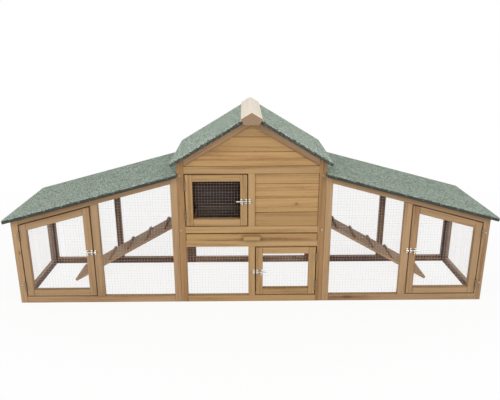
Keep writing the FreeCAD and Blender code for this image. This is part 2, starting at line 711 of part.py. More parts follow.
def latch_plate(name, edge, height):
    start = f"({edge} + latch_inset)"
    end = f"({start} + latch_length)"
    plate = box(f"{name}_plate", (start, end), (f"{FRONT} - latch_plate", FRONT),
                (f"{height} - latch_height / 2", f"{height} + latch_height / 2"))
    blocks = [plate]
    bores = []
    for k, span in enumerate(((start, f"{start} + guide_length"), (f"{end} - guide_length", end))):
        block, bore = bolt_loop(f"{name}_guide_{k}", span, height, f"{FRONT} - latch_plate", "pin_clearance")
        blocks.append(block)
        bores.append(bore)
    return cut(f"{name}_body", fuse(f"{name}_blank", blocks), fuse(f"{name}_bores", bores))


def bolt(name, edge, height):
    """Barrel bolt drawn back, with its knob stem against the rear guide."""
    start = f"({edge} + latch_inset)"
    knob = f"({start} + latch_length - guide_length - knob_radius - bolt_gap)"
    return fuse(f"{name}_body", [
        rod(f"{name}_bar", "x", "bolt_radius", (start, f"{start} + bolt_length"), (BOLT_Y, height)),
        rod(f"{name}_stem", "z", "knob_radius", (f"{height} - knob_drop", height), (knob, BOLT_Y)),
        ball(f"{name}_ball", "knob_ball", (knob, BOLT_Y, f"{height} - knob_drop")),
    ])


def keeper(name, edge, height):
    """Keeper on the timber beside a door's latch edge."""
    end = f"({edge} - door_gap - latch_inset)"
    span = (f"{end} - keeper_length", end)
    plate = box(f"{name}_plate", span, (f"{FRONT} - latch_plate", FRONT),
                (f"{height} - latch_height / 2", f"{height} + latch_height / 2"))
    block, bore = bolt_loop(name, span, height, f"{FRONT} - latch_plate", "keeper_clearance")
    return cut(f"{name}_body", fuse(f"{name}_blank", [plate, block]), bore)


def door(name, mirrored, x_low, x_high, bottom, top, slope, pitch, latch_height):
    """All sub-parts of a door, with its fixed hinge leaves, pins and keeper."""
    hinges = [
        hinge(f"{name}_low_hinge", x_high, f"({bottom} + hinge_end)"),
        hinge(f"{name}_high_hinge", x_high, f"({top(x_high)} - hinge_end - hinge_length)"),
    ]
    groups = {
        "frame": door_frame(f"{name}_frame_part", x_low, x_high, bottom, top, slope),
        "net": [door_net(f"{name}_net_part", x_low, x_high, bottom, top, slope, pitch)],
        "hinge_leaves": [leaf for fixed, leaf, pin in hinges],
        "latch_plate": [latch_plate(f"{name}_latch_part", x_low, latch_height)],
        "bolt": [bolt(f"{name}_bolt_part", x_low, latch_height)],
    }
    fixed_pieces = [piece for fixed, leaf, pin in hinges for piece in (fixed, pin)]
    keeper_pieces = [keeper(f"{name}_keeper", x_low, latch_height)]

    def handed(pieces):
        return [mirror(f"{piece.Name}_turned", piece) for piece in pieces] if mirrored else pieces

    for group, pieces in groups.items():
        node(f"{name}_{group}", handed(pieces))
    fixed_hinges.extend(handed(fixed_pieces))
    keepers.extend(handed(keeper_pieces))


def run_door_top(x):
    """Upper edge of a run door, a gap below the top rail."""
    return f"({run_rail_under(x)} - door_gap / cos(run_pitch))"


HOUSE_DOOR = (f"({STILE_HALF} + door_gap)", f"({HOUSE_POST_IN} - door_gap)")
RUN_DOOR = (f"({RUN_STILE[1]} + door_gap)", f"({OUTER_POST_IN} - door_gap)")
UPPER_EDGES = (f"({CHAMBER} + door_gap)", level(f"({TOP_RAIL} - door_gap)"), "0")
LOWER_EDGES = ("(rail + door_gap)", level(f"({TRAY_RAIL} - door_gap)"), "0")
RUN_EDGES = ("(rail + door_gap)", run_door_top, "run_pitch")
door("upper_door", True, *HOUSE_DOOR, *UPPER_EDGES, "door_net_pitch", "upper_latch_height")
door("lower_door", False, *HOUSE_DOOR, *LOWER_EDGES, "door_net_pitch", "lower_latch_height")
door("right_run_door", False, *RUN_DOOR, *RUN_EDGES, "panel_net_pitch", "run_latch_height")
door("left_run_door", True, *RUN_DOOR, *RUN_EDGES, "panel_net_pitch", "run_latch_height")
node("frame_hinge_leaves", fixed_hinges)
node("bolt_keepers", keepers)

# Tray
TRAY_LOW = f"({SLOT} + slide_clearance)"
TRAY_FRONT_HALF = f"({HOUSE_POST_IN} - tray_side_gap)"
PAN_FRONT = f"({FRONT} + tray_front)"
PAN_REAR = f"({REAR_IN} - tray_rear_gap)"
PAN_WALL = (f"{TRAY_LOW} + tray_floor", f"{TRAY_LOW} + tray_floor + tray_depth")
HANDLE_MID = f"({TRAY_LOW} + tray_front_height / 2)"
PAN_SPAN = (PAN_FRONT, PAN_REAR)
PAN_CLEAR = (f"(tray_wall - {TRAY_HALF})", f"({TRAY_HALF} - tray_wall)")
node("tray_front_board", [box(
    "tray_face", (f"-{TRAY_FRONT_HALF}", TRAY_FRONT_HALF), (FRONT, PAN_FRONT),
    (TRAY_LOW, f"{TRAY_LOW} + tray_front_height"))])
node("tray_pan", [
    box("pan_floor", (f"-{TRAY_HALF}", TRAY_HALF), PAN_SPAN, (TRAY_LOW, PAN_WALL[0])),
    box("pan_right_wall", (PAN_CLEAR[1], TRAY_HALF), PAN_SPAN, PAN_WALL),
    box("pan_left_wall", (f"-{TRAY_HALF}", PAN_CLEAR[0]), PAN_SPAN, PAN_WALL),
    box("pan_rear_wall", PAN_CLEAR, (f"{PAN_REAR} - tray_wall", PAN_REAR), PAN_WALL),
])
node("tray_handle", [box(
    "handle_block", ("-handle_width / 2", "handle_width / 2"), (f"{FRONT} - handle_proud", FRONT),
    (f"{HANDLE_MID} - handle_height / 2", f"{HANDLE_MID} + handle_height / 2"))])

# Ramps
RAMP_PIVOT = ("(house_half + ramp_stand)", f"({SLOT} + ramp_pivot_rise)")
RAMP_LENGTH = f"(({RAMP_PIVOT[1]} - ramp_clearance - ramp_board / 2 * cos(ramp_pitch)) / sin(ramp_pitch))"
RAMP_SPAN = ("(ramp_place - ramp_width / 2)", "(ramp_place + ramp_width / 2)")
RAMP_TOP = "(ramp_board / 2)"


def ramp_plank(name):
    along = ("-ramp_end", RAMP_LENGTH)
    square = (f"-{RAMP_TOP}", RAMP_TOP)
    plank = tilted_box(f"{name}_board", along, RAMP_SPAN, square, "ramp_pitch", RAMP_PIVOT)
    bore = rod(f"{name}_bore", "y", "ramp_rod + pin_clearance", RAMP_SPAN, RAMP_PIVOT)
    return [cut(f"{name}_bored", plank, bore)]


def ramp_cleats(name):
    count = 1 + math.floor(measure(f"({RAMP_LENGTH} - cleat_first - cleat_width) / cleat_pitch"))
    cleats = []
    for k in range(count):
        start = f"(cleat_first + {k} * cleat_pitch)"
        along = (start, f"{start} + cleat_width")
        square = (RAMP_TOP, f"{RAMP_TOP} + cleat_height")
        cleats.append(tilted_box(f"{name}_{k}", along, RAMP_SPAN, square, "ramp_pitch", RAMP_PIVOT))
    return cleats


def ramp_hinge():
    """Pivot rod and the two brackets that hold it to the house wall."""
    front = f"({RAMP_SPAN[0]} - ramp_clearance)"
    rear = f"({RAMP_SPAN[1]} + ramp_clearance)"
    x_span = ("house_half", f"{RAMP_PIVOT[0]} + bracket_half")
    z_span = (f"{RAMP_PIVOT[1]} - bracket_half", f"{RAMP_PIVOT[1]} + bracket_half")
    pieces = [rod("ramp_rod_bar", "y", "ramp_rod", (f"{front} - bracket", f"{rear} + bracket"), RAMP_PIVOT)]
    for k, y_span in enumerate(((f"{front} - bracket", front), (rear, f"{rear} + bracket"))):
        plate = box(f"ramp_bracket_{k}_plate", x_span, y_span, z_span)
        bore = rod(f"ramp_bracket_{k}_bore", "y", "ramp_rod + pin_clearance", y_span, RAMP_PIVOT)
        pieces.append(cut(f"ramp_bracket_{k}", plate, bore))
    return with_mirror("ramp_hinge", pieces)


both_sides("ramp_plank", ramp_plank)
both_sides("ramp_cleats", ramp_cleats)
node("ramp_hinges", ramp_hinge())


# Screws through the front posts
def screw(name, x, z):
    return fuse(name, [
        rod(f"{name}_head", "y", "screw_head", (f"{FRONT} - screw_head_height", FRONT), (x, z)),
        rod(f"{name}_shank", "y", "screw_shank", (FRONT, f"{FRONT} + screw_length"), (x, z)),
    ])


HOUSE_SCREW_X = "house_half - house_screw_inset"
OUTER_SCREW_X = "half_width - post_width / 2"
node("post_screws", with_mirror("post_screw", [
    screw("house_low_screw", HOUSE_SCREW_X, f"{FLOOR} + house_screw_inset"),
    screw("house_high_screw", HOUSE_SCREW_X, f"{TOP_RAIL} - house_screw_inset"),
    screw("outer_low_screw", OUTER_SCREW_X, "outer_screw_low"),
    screw("outer_high_screw", OUTER_SCREW_X, f"{run_under(OUTER_SCREW_X)} - outer_screw_drop"),
]))

# Check every object, then write the sub-parts
doc.recompute()
for piece in doc.Objects:
    if "Invalid" in piece.State or "Error" in piece.State:
        raise RuntimeError(f"{piece.Name} failed: {piece.State}")
for label, piece in nodes:
    if piece.Label != label:
        raise RuntimeError(f"{label} is not a free name")
    if piece.Shape.isNull() or not piece.Shape.isValid() or not piece.Shape.Solids:
        raise RuntimeError(f"{label} has no valid solid")
os.makedirs("parts", exist_ok=True)
for label, piece in nodes:
    piece.Shape.exportStep(os.path.join("parts", f"{label}.step"))
print(len(nodes), "sub-parts,", sum(len(piece.Shape.Solids) for label, piece in nodes), "solids")
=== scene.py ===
"""Dresses the chicken coop: stained timber, mineral felt, welded wire net and zinc hardware."""

import json
import math
import random

import bmesh
import bpy
from mathutils import Matrix, Vector, noise
from mathutils.geometry import convex_hull_2d

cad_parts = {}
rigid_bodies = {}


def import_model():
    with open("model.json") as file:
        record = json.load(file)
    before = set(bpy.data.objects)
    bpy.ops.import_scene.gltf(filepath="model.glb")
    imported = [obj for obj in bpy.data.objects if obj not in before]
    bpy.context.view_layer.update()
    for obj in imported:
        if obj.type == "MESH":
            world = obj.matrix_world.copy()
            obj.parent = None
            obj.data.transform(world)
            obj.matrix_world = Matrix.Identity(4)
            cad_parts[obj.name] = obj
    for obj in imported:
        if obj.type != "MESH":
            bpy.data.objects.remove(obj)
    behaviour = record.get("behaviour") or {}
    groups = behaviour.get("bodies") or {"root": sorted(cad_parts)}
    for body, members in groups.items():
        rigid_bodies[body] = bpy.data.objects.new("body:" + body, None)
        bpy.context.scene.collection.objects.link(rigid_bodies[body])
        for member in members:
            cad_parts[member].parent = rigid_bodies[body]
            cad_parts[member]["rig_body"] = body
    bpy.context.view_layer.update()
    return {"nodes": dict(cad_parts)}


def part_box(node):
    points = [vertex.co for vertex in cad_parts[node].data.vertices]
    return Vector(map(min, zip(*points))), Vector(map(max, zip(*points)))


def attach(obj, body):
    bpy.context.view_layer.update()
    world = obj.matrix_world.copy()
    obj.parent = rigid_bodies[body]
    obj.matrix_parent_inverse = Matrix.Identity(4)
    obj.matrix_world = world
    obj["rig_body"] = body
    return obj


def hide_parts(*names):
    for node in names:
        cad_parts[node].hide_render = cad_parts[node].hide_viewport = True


bl_info = {
    "name": "Chicken Coop",
    "version": (1, 0, 0),
    "blender": (4, 5, 0),
    "location": "View3D > Sidebar > Coop",
    "description": "Dresses the timber, roofs, nets and hardware of a chicken coop with two runs",
    "category": "Object",
}

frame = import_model()
NODES = frame["nodes"]

MM = 0.001
# Points closer than MERGE are one, faces within FLAT are one, and edges beyond SHARP are rounded
MERGE = 1e-5
FLAT = math.radians(0.5)
SHARP = math.radians(25)
# Cosines that tell which way a face looks
SIDEWAYS = 0.2
ENDWAYS = 0.8
INWARD = 0.15
UPWARD = 0.5
DOWNWARD = -0.3
SQUARE = 0.9
# Sizes of the hardware and of thin edges
BAR_RADIUS = 2.75 * MM
BALL_RADIUS = 2.9 * MM
PLATE_THICKNESS = 1.5 * MM
SHEET_EDGE = 0.6 * MM
HINGE_EDGE = 0.3 * MM
PLATE_EDGE = 0.25 * MM
# How much the stain differs between boards
BOARD_SPREAD = 0.09
SIDES = ("left", "right")
FELTS = ("left_house_felt", "right_house_felt", "left_run_felt", "right_run_felt")
DOORS = ("upper_door", "lower_door", "left_run_door", "right_run_door")


def tint(red, green, blue):
    """Linear colour of a colour that is given as it looks on a screen."""
    shares = [channel / 255 for channel in (red, green, blue)]
    return [s / 12.92 if s <= 0.04045 else ((s + 0.055) / 1.055) ** 2.4 for s in shares]


# Dark zinc in the screw slots, as painted shade in the recess
RECESS_SHADE = tint(52, 50, 48)
WHITE = (1.0, 1.0, 1.0, 1.0)


def opaque(colour, share=1.0):
    """A share of a colour, with its alpha."""
    return (*[channel * share for channel in colour], 1.0)


def body_of(node):
    """Body that carries a node of the frame."""
    return NODES[node]["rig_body"]


# Shader maths

class Value:
    """A socket whose arithmetic adds Math nodes to its material."""

    def __init__(self, finish, socket):
        self.finish = finish
        self.socket = socket

    def _maths(self, operation, first, second):
        return self.finish.node("ShaderNodeMath", {"operation": operation}, {0: first, 1: second})

    def __add__(self, other):
        return self._maths("ADD", self, other)

    def __sub__(self, other):
        return self._maths("SUBTRACT", self, other)

    def __rsub__(self, other):
        return self._maths("SUBTRACT", other, self)

    def __mul__(self, other):
        return self._maths("MULTIPLY", self, other)

    __radd__ = __add__
    __rmul__ = __mul__


class Finish:
    """A node tree that is built through one method for its nodes."""

    def __init__(self, owner):
        owner.use_nodes = True
        self.owner = owner
        self.tree = owner.node_tree
        self.tree.nodes.clear()

    @staticmethod
    def _find(sockets, key):
        if isinstance(key, int):
            return sockets[key]
        return next(socket for socket in sockets if key in (socket.identifier, socket.name))

    def node(self, kind, settings=None, inputs=None, output=0):
        """Add a node, set it up, then fill or link its inputs."""
        made = self.tree.nodes.new(kind)
        for key, setting in (settings or {}).items():
            if key == "stops":
                ramp = made.color_ramp.elements
                while len(ramp) < len(setting):
                    ramp.new(1.0)
                for element, (place, colour) in zip(ramp, setting):
                    element.position = place
                    element.color = (*colour, 1.0)
            else:
                setattr(made, key, setting)
        for key, given in (inputs or {}).items():
            socket = self._find(made.inputs, key)
            if isinstance(given, Value):
                self.tree.links.new(given.socket, socket)
            else:
                socket.default_value = given
        return Value(self, self._find(made.outputs, output)) if made.outputs else None

    def attribute(self, name, output="Fac"):
        """A value that the mesh carries."""
        return self.node("ShaderNodeAttribute", {"attribute_name": name}, {}, output)

    def place(self):
        """Object coordinates."""
        return self.node("ShaderNodeTexCoord", {}, {}, "Object")

    def mix(self, factor, first, second, blend="MIX"):
        """Blend two colours."""
        return self.node(
            "ShaderNodeMix",
            {"data_type": "RGBA", "blend_type": blend},
            {"Factor_Float": factor, "A_Color": first, "B_Color": second},
            "Result_Color",
        )

    def stretched(self, vector, factors):
        """Scale a vector along its axes."""
        return self.node("ShaderNodeVectorMath", {"operation": "MULTIPLY"}, {0: vector, 1: factors})

    def noise(self, vector, scale, detail=2.0, roughness=0.5):
        """Smooth noise about 0.5."""
        inputs = {"Vector": vector, "Scale": scale, "Detail": detail, "Roughness": roughness}
        return self.node("ShaderNodeTexNoise", {}, inputs)

    def cells(self, vector, scale, output="Distance", dimensions="3D"):
        """Distance or colour of scattered cells."""
        settings = {"voronoi_dimensions": dimensions}
        return self.node("ShaderNodeTexVoronoi", settings, {"Vector": vector, "Scale": scale}, output)

    def picks(self, vector, scale, dimensions="3D"):
        """A random value for each of the scattered cells."""
        return self.node("ShaderNodeSeparateColor", {}, {0: self.cells(vector, scale, "Color", dimensions)})

    def between(self, value, low, high, start=0.0, end=1.0):
        """Map a range of values to another, clamped and eased."""
        inputs = {"Value": value, "From Min": low, "From Max": high, "To Min": start, "To Max": end}
        return self.node("ShaderNodeMapRange", {"interpolation_type": "SMOOTHSTEP"}, inputs)

    def ramp(self, value, stops):
        """Colour ramp."""
        return self.node("ShaderNodeValToRGB", {"stops": stops}, {"Fac": value})

    def bump(self, height, strength, distance):
        """Surface normal from a height."""
        inputs = {"Height": height, "Strength": strength, "Distance": distance}
        return self.node("ShaderNodeBump", {}, inputs)

    def surface(self, inputs):
        """Close the material with a principled surface."""
        shader = self.node("ShaderNodeBsdfPrincipled", {}, inputs)
        self.node("ShaderNodeOutputMaterial", {}, {"Surface": shader})
        return self.owner


def material(name, build, *colours):
    """Material by its name, built on first use."""
    found = bpy.data.materials.get(name)
    return found or build(Finish(bpy.data.materials.new(name)), *colours)


# Finishes

def stained_pine(finish):
    """Sawn pine under a brown stain: figure, growth lines, fibres, streaks and a few knots, darkened at its
    joints and where shade is painted.
    """
    place = finish.attribute("grain", "Vector")
    stain = finish.attribute("stain", "Color")
    end = finish.attribute("end")
    drawn_out = finish.stretched(place, (0.05, 1.0, 1.0))
    figure = finish.between(finish.noise(drawn_out, 45.0, 3.0), 0.3, 0.7)
    wave_inputs = {
        "Vector": drawn_out, "Scale": 38.0, "Distortion": 7.0, "Detail": 2.0, "Detail Scale": 22.0,
    }
    lines = finish.node("ShaderNodeTexWave", {"bands_direction": "Y"}, wave_inputs, "Fac")
    fibres = finish.noise(finish.stretched(place, (0.02, 1.0, 1.0)), 650.0, 2.0)
    bands = finish.between(finish.noise(finish.stretched(place, (0.03, 1.0, 1.0)), 120.0, 3.0), 0.32, 0.68)
    streaks = finish.between(finish.noise(finish.stretched(place, (0.03, 1.0, 1.0)), 30.0, 4.0), 0.56, 0.72)
    knot_place = finish.stretched(place, (0.7, 1.0, 1.0))
    knot_distance = finish.cells(knot_place, 6.0, "Distance", "2D")
    chosen = finish.between(finish.picks(knot_place, 6.0, "2D"), 0.76, 0.77)
    knots = finish.between(knot_distance, 0.014, 0.036, 1.0, 0.0) * chosen
    halo = finish.between(knot_distance, 0.03, 0.11, 1.0, 0.0) * chosen
    shade = 0.41 + figure * 0.44 - lines * 0.20 + bands * 0.36 + (fibres - 0.5) * 0.44
    shade = shade - streaks * 0.40 - halo * 0.16
    rings = finish.between(finish.noise(place, 420.0, 2.0), 0.4, 0.6)
    # Marked faces darken: dark joints on the rounded edges, and painted shade in the gaps by doors and trims
    # and on the inner faces
    shade = shade - end * (0.12 + rings * 0.12) - finish.attribute("worn") * 0.24
    # The ramp's reddish dark end gives the painted shade of the inner faces
    worn = finish.ramp(shade, (
        (0.0, (0.30, 0.19, 0.16)),
        (0.35, (0.66, 0.58, 0.50)),
        (0.62, (0.88, 0.86, 0.83)),
        (1.0, (1.0, 1.0, 1.0)),
    ))
    colour = finish.mix(1.0, stain, worn, "MULTIPLY")
    colour = finish.mix(knots * 0.75, colour, (0.12, 0.060, 0.028, 1.0))
    roughness = 0.66 - figure * 0.10 + lines * 0.06
    relief = finish.bump(fibres * 0.6 + lines * 0.3 - knots * 0.3, 0.35, 0.0006)
    return finish.surface({"Base Color": colour, "Roughness": roughness, "Normal": relief})


def mineral_felt(finish, light, dark, hem_shade_colour):
    """Roofing felt with pressed-in mineral granules, with painted shade on its turned-down hem."""
    place = finish.place()
    pick = finish.picks(place, 270.0)
    speckle = finish.between(finish.noise(place, 230.0, 2.0, 0.6), 0.34, 0.66)
    mottle = finish.between(finish.noise(place, 24.0, 4.0, 0.6), 0.35, 0.65)
    tone = finish.attribute("tone")
    contrast = finish.between(tone, 0.0, 0.05, 1.0, 1.45)
    shade = (pick * 0.66 + speckle * 0.28 + mottle * 0.06 - 0.5) * contrast + tone + 0.5
    middle = [a * 0.42 + b * 0.58 for a, b in zip(light, dark)]
    colour = finish.ramp(shade, ((0.12, dark), (0.52, middle), (0.90, light)))
    # Painted shade on the turned-down hem, with a few lighter granules in it
    shaded_hem = finish.between(finish.attribute("drop") + (speckle - 0.5) * 0.2, 0.02, 0.36)
    grit = finish.between(pick + speckle * 0.5 + tone * 4.0, 0.95, 1.40)
    edge = finish.mix(grit, opaque(hem_shade_colour), opaque(hem_shade_colour, 3.2))
    colour = finish.mix(shaded_hem, colour, edge)
    relief = finish.bump(finish.cells(place, 260.0) + speckle * 0.5, 0.6, 0.0012)
    return finish.surface({"Base Color": colour, "Roughness": 0.86 + pick * 0.1, "Normal": relief})


def planed_beam(finish, top, end_colour):
    """Pale planed timber with browner sawn ends."""
    place = finish.attribute("grain", "Vector")
    end = finish.attribute("end")
    drawn_out = finish.stretched(place, (0.04, 1.0, 1.0))
    figure = finish.between(finish.noise(drawn_out, 60.0, 3.0), 0.3, 0.7)
    fibres = finish.noise(finish.stretched(place, (0.02, 1.0, 1.0)), 600.0, 2.0)
    colour = finish.mix(0.65 * figure + fibres * 0.35, opaque(top, 0.88), opaque(top))
    section = finish.stretched(place, (0.0, 1.0, 1.0))
    ring_inputs = {"Vector": section, "Scale": 28.0, "Distortion": 2.0, "Detail Scale": 12.0}
    ring_settings = {"wave_type": "RINGS", "rings_direction": "X"}
    rings = finish.node("ShaderNodeTexWave", ring_settings, ring_inputs, "Fac")
    sawn = finish.mix(rings, opaque(end_colour, 0.92), opaque(end_colour))
    colour = finish.mix(end, colour, sawn)
    relief = finish.bump(fibres, 0.3, 0.0004)
    return finish.surface({"Base Color": colour, "Roughness": 0.6 - figure * 0.1, "Normal": relief})


def zinc_plate(finish, colour):
    """Bright zinc with faint crystals and handling marks, with painted shade on the marked faces."""
    place = finish.place()
    tarnish = finish.attribute("tarnish")
    crystals = finish.picks(place, 420.0)
    marks = finish.between(finish.noise(place, 260.0, 3.0), 0.4, 0.7)
    clean = finish.mix(crystals * 0.35 + marks * 0.4, opaque(colour), opaque(colour, 0.7))
    # Painted shade: the marked faces turn near black
    shade = finish.mix(tarnish, clean, opaque(colour, 0.06))
    roughness = 0.2 + crystals * 0.10 + marks * 0.14 + tarnish * 0.3
    relief = finish.bump(marks, 0.1, 0.0003)
    inputs = {"Base Color": shade, "Metallic": 1.0, "Roughness": roughness, "Normal": relief}
    return finish.surface(inputs)


def bright_wire(finish, colour):
    """Bright galvanised wire with lighter and darker lengths."""
    place = finish.place()
    patches = finish.between(finish.noise(place, 90.0, 3.0), 0.35, 0.65)
    shade = finish.mix(patches, opaque(colour, 0.9), opaque(colour))
    inputs = {"Base Color": shade, "Metallic": 0.1, "Roughness": 0.40 + patches * 0.12}
    return finish.surface(inputs)


# Mesh helpers

def closed_shells(shape):
    """Faces of each closed solid, also where solids share corners or edges."""
    seen = set()
    shells = []
    for first in shape.faces:
        if first in seen:
            continue
        seen.add(first)
        shell = [first]
        for face in shell:
            for edge in face.edges:
                if len(edge.link_faces) != 2:
                    continue
                for other in edge.link_faces:
                    if other not in seen:
                        seen.add(other)
                        shell.append(other)
        shells.append(shell)
    return shells


def merged_copy(node):
    """Shape of a frame node with its doubles merged, its solids apart and its flat faces whole."""
    shape = bmesh.new()
    shape.from_mesh(NODES[node].data)
    bmesh.ops.remove_doubles(shape, verts=shape.verts, dist=MERGE)
    for shell in closed_shells(shape)[1:]:
        bmesh.ops.split(shape, geom=shell, use_only_faces=True)
    bmesh.ops.dissolve_limit(shape, angle_limit=FLAT, verts=shape.verts, edges=shape.edges)
    return shape


def islands(shape):
    """Vertices of each separate solid, in the order of the mesh."""
    shape.verts.ensure_lookup_table()
    seen = set()
    found = []
    for first in shape.verts:
        if first in seen:
            continue
        seen.add(first)
        solid = [first]
        for vert in solid:
            for edge in vert.link_edges:
                other = edge.other_vert(vert)
                if other not in seen:
                    seen.add(other)
                    solid.append(other)
        found.append(solid)
    return found


def extent(points):
    """Lowest and highest corner of some points."""
    low = Vector([min(point[k] for point in points) for k in range(3)])
    high = Vector([max(point[k] for point in points) for k in range(3)])
    return low, high


def ease_edges(shape, width, least=4 * MM, dark=1.0):
    """Round the sharp edges of a shape, apart from the short ones, and mark them dark: dark joints, and
    painted shade in the gaps.
    """
    worn = shape.faces.layers.float.new("worn")
    edges = [
        edge for edge in shape.edges
        if edge.is_manifold and edge.calc_face_angle() > SHARP and edge.calc_length() > least
    ]
    rounded = bmesh.ops.bevel(shape, geom=edges, offset=width, offset_type="OFFSET", affect="EDGES",
                              segments=2, profile=0.5, material=-1, clamp_overlap=True)
    for face in rounded["faces"]:
        face[worn] = dark


def grain_direction(solid):
    """Longest edge and largest face of a solid, as the frame of its grain."""
    edges = {edge.index: edge for vert in solid for edge in vert.link_edges}
    faces = {face.index: face for vert in solid for face in vert.link_faces}
    longest = max(edges.values(), key=lambda edge: (round(edge.calc_length(), 6), -edge.index))
    along = (longest.verts[1].co - longest.verts[0].co).normalized()
    if along[max(range(3), key=lambda k: abs(along[k]))] < 0:
        along.negate()
    broad = [face for face in faces.values() if abs(face.normal.dot(along)) < SIDEWAYS]
    largest = max(broad, key=lambda face: (round(face.calc_area(), 8), -face.index))
    normal = (largest.normal - along * largest.normal.dot(along)).normalized()
    return along, normal.cross(along), normal, faces.values()


def mark_grain(shape, stain, spread, seed):
    """Give each timber its own grain frame, stain and sawn ends."""
    shape.verts.index_update()
    shape.edges.index_update()
    shape.faces.index_update()
    shape.normal_update()
    grain = shape.verts.layers.float_vector.new("grain")
    tone = shape.verts.layers.float_color.new("stain")
    end = shape.faces.layers.float.new("end")
    picks = random.Random(seed)
    for solid in islands(shape):
        along, across, normal, faces = grain_direction(solid)
        start = Vector([picks.uniform(-9, 9) for axis in range(3)])
        depth = 1 + picks.uniform(-spread, spread)
        warmth = picks.uniform(-0.3, 0.3) * spread
        colour = (
            stain[0] * depth,
            stain[1] * depth * (1 - warmth * 0.5),
            stain[2] * depth * (1 - warmth),
            1.0,
        )
        for vert in solid:
            vert[grain] = start + Vector((vert.co.dot(along), vert.co.dot(across), vert.co.dot(normal)))
            vert[tone] = colour
        for face in faces:
            face[end] = 1.0 if abs(face.normal.dot(along)) > ENDWAYS else 0.0


def finished(shape, name, surface, body, nodes=(), smooth=False):
    """Turn a shape into a piece that rides on a body and stands for its nodes."""
    mesh = bpy.data.meshes.new(name)
    shape.to_mesh(mesh)
    shape.free()
    if smooth:
        mesh.shade_smooth()
    mesh.materials.append(surface)
    piece = bpy.data.objects.new(name, mesh)
    bpy.context.scene.collection.objects.link(piece)
    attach(piece, body)
    if nodes:
        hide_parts(*nodes)
    return piece


def shade_inside(shape, dark):
    """Paint shade on the faces that face the middle of the coop."""
    worn = shape.faces.layers.float.get("worn")
    shape.normal_update()
    for face in shape.faces:
        inward = -face.calc_center_median()
        inward.z = 0
        if face.normal.dot(inward.normalized()) > INWARD:
            face[worn] = dark


def dress_timber(node, stain, width, spread=0.07, dark=1.0, inside=0.0):
    """Replace a timber node by one with eased edges and grain."""
    shape = merged_copy(node)
    ease_edges(shape, width, dark=dark)
    if inside:
        shade_inside(shape, inside)
    mark_grain(shape, stain, spread, node)
    return finished(shape, f"{node}_timber", material("stained_pine", stained_pine),
                    body_of(node), (node,))


def roof_slope(shape):
    """Upward normal of the broad top of a roof sheet."""
    shape.normal_update()
    tops = [face for face in shape.faces if face.normal.z > UPWARD]
    return max(tops, key=lambda face: face.calc_area()).normal.copy()


def fray(shape, top, below):
    """Make the cut lower edge of a roof sheet uneven."""
    shortest = 60 * MM
    step = 9 * MM
    ripple = 90
    unevenness = 0.35 * MM
    drop = shape.verts.layers.float.get("drop")
    long_edges = [
        edge for edge in shape.edges
        if edge.calc_length() > shortest and all(vert.co.dot(top) < below for vert in edge.verts)
    ]
    for edge in long_edges:
        cuts = int(edge.calc_length() / step)
        added = bmesh.ops.subdivide_edges(shape, edges=[edge], cuts=cuts, use_grid_fill=False)
        for vert in added["geom_inner"]:
            if isinstance(vert, bmesh.types.BMVert):
                vert.co += top * (noise.noise(vert.co * ripple) * unevenness)
                vert[drop] = 1.0


def span_at(outline, across, place):
    """Range of an outline along one axis at a place on the other."""
    crossings = []
    for start, end in zip(outline, outline[1:] + outline[:1]):
        if (start[across] - place) * (end[across] - place) < 0:
            share = (place - start[across]) / (end[across] - start[across])
            crossings.append(start[1 - across] + share * (end[1 - across] - start[1 - across]))
    return min(crossings), max(crossings)


def facing_front(place):
    """Turn from upright to facing the front, at a place."""
    return Matrix.Translation(place) @ Matrix.Rotation(math.pi / 2, 4, "X")


def facing_rear(place):
    """Turn from upright to facing the rear, at a place."""
    return Matrix.Translation(place) @ Matrix.Rotation(-math.pi / 2, 4, "X")


def block(shape, low, high):
    """Block between two corners."""
    low = Vector(low)
    size = Vector(high) - low
    matrix = Matrix.Translation(low + size / 2) @ Matrix.Diagonal((*size, 1.0))
    bmesh.ops.create_cube(shape, size=1.0, matrix=matrix)


def stud(shape, centre, radius, depth):
    """Short round bar that faces the front."""
    bmesh.ops.create_cone(shape, cap_ends=True, segments=18, radius1=radius, radius2=radius,
                          depth=depth, matrix=facing_front(centre))


def append(shape, part):
    """Add a part to a shape and free it."""
    mesh = bpy.data.meshes.new("part")
    part.to_mesh(mesh)
    part.free()
    shape.from_mesh(mesh)
    bpy.data.meshes.remove(mesh)


def mark_painted_shade(shape, flats):
    """Mark the undersides, and on plates the flats behind the bar, for painted shade."""
    broad_area = 60 * MM * MM
    layer = shape.faces.layers.float.new("tarnish")
    shape.normal_update()
    for face in shape.faces:
        broad = len(face.verts) == 4 and face.calc_area() > broad_area
        if face.normal.z < DOWNWARD or (flats and broad and face.normal.y < -SQUARE):
            face[layer] = 1.0


def wire(shape, start, end, radius):
    """Straight six-sided wire between two points."""
    line = end - start
    turn = line.to_track_quat("Z", "Y").to_matrix().to_4x4()
    bmesh.ops.create_cone(shape, cap_ends=True, segments=6, radius1=radius, radius2=radius,
                          depth=line.length, matrix=Matrix.Translation((start + end) / 2) @ turn)


def weave(shape, corners, pitch, radius):
    """Welded net over the outline of a flat solid."""
    lows, highs = extent(corners)
    thin = 0 if highs[0] - lows[0] < highs[1] - lows[1] else 1
    flat = 1 - thin
    points = [(corner[flat], corner[2]) for corner in corners]
    outline = [points[k] for k in convex_hull_2d(points)]
    outward = -1 if lows[thin] < 0 else 1
    face = lows[thin] if outward < 0 else highs[thin]
    # The upright wires lie at the outer face and the level ones behind them
    for across, layer in ((0, 1), (1, 3)):
        low, high = (lows[flat], highs[flat]) if across == 0 else (lows[2], highs[2])
        count = int((high - low) / pitch)
        first = (low + high - (count - 1) * pitch) / 2
        for k in range(count):
            place = first + k * pitch
            ends = []
            for reach in span_at(outline, across, place):
                point = Vector((0.0, 0.0, 0.0))
                point[thin] = face - outward * layer * radius
                point[flat] = place if across == 0 else reach
                point[2] = reach if across == 0 else place
                ends.append(point)
            if (ends[1] - ends[0]).length > pitch:
                wire(shape, ends[0], ends[1], radius)


# Settings that a user would change

